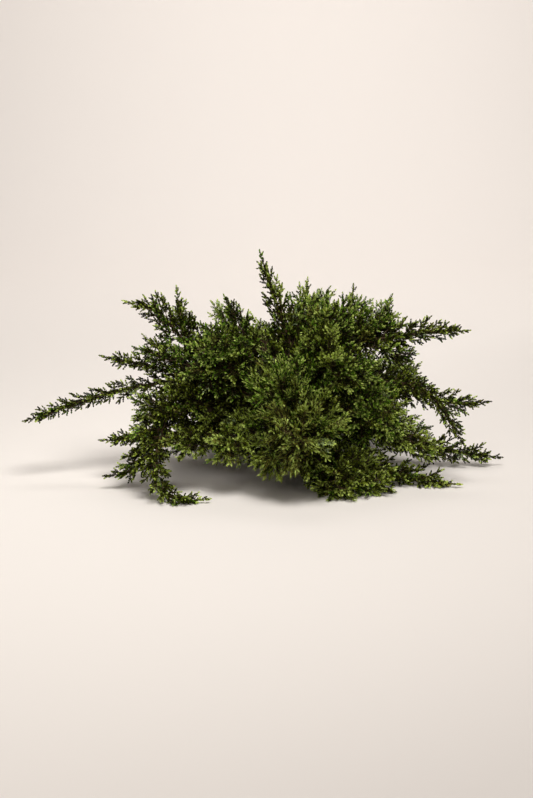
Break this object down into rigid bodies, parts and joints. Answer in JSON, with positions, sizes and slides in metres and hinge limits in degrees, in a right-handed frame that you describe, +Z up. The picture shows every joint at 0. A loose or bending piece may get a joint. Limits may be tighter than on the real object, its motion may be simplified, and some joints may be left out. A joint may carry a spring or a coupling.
{
  "type": "japanese garden juniper",
  "caption": "Low spreading evergreen shrub with a short trunk, tapering boughs and feathery masses of short needles, rooted in level ground.",
  "frame": {"origin": "middle of the flat cut under the trunk, at ground level", "axes": "+Z up, +X and -X along the shrub's long sides, -Y towards its front"},
  "size_m": [0.826, 0.5286, 0.379],
  "materials": {
    "bark": "dull brown bark",
    "foliage": "satin green needles"
  },
  "bodies": {
    "root": {"trunk": "bark", "bough_left": "bark", "bough_left_tall": "bark", "bough_left_shoulder": "bark", "bough_left_low": "bark", "bough_left_ground": "bark", "bough_front_left": "bark", "bough_front_centre": "bark", "bough_front_upper": "bark", "bough_front_ground": "bark", "bough_front_right": "bark", "bough_right_front_ground": "bark", "bough_right_mid": "bark", "bough_right_upper": "bark", "bough_right_ground": "bark", "bough_top_right": "bark", "bough_top_left": "bark", "bough_back_left": "bark", "bough_back_centre": "bark", "bough_back_right": "bark", "bough_back_top": "bark", "foliage_left_long_spray": "foliage", "foliage_left_upper_spray": "foliage", "foliage_left_tall": "foliage", "foliage_left_tall_side": "foliage", "foliage_left_shoulder": "foliage", "foliage_left_mid": "foliage", "foliage_left_low": "foliage", "foliage_left_side_spray": "foliage", "foliage_left_ground_spray": "foliage", "foliage_left_ground_side": "foliage", "foliage_front_left": "foliage", "foliage_front_low": "foliage", "foliage_front_left_upper": "foliage", "foliage_front_centre": "foliage", "foliage_front_upper_left": "foliage", "foliage_front_ground": "foliage", "foliage_front_right_ground": "foliage", "foliage_right_front_ground": "foliage", "foliage_front_right": "foliage", "foliage_right_low": "foliage", "foliage_right_mid_spray": "foliage", "foliage_right_drooping": "foliage", "foliage_right_long_spray": "foliage", "foliage_right_shoulder_low": "foliage", "foliage_right_ground": "foliage", "foliage_right_shoulder": "foliage", "foliage_top_right": "foliage", "foliage_top_spire": "foliage", "foliage_top_centre": "foliage", "foliage_top_left": "foliage", "foliage_front_top": "foliage", "foliage_front_upper_right": "foliage", "foliage_back_left": "foliage", "foliage_back_left_ground": "foliage", "foliage_back_centre": "foliage", "foliage_back_right": "foliage", "foliage_back_right_ground": "foliage", "foliage_back_top_left": "foliage", "foliage_back_top": "foliage"}
  },
  "joints": []
}
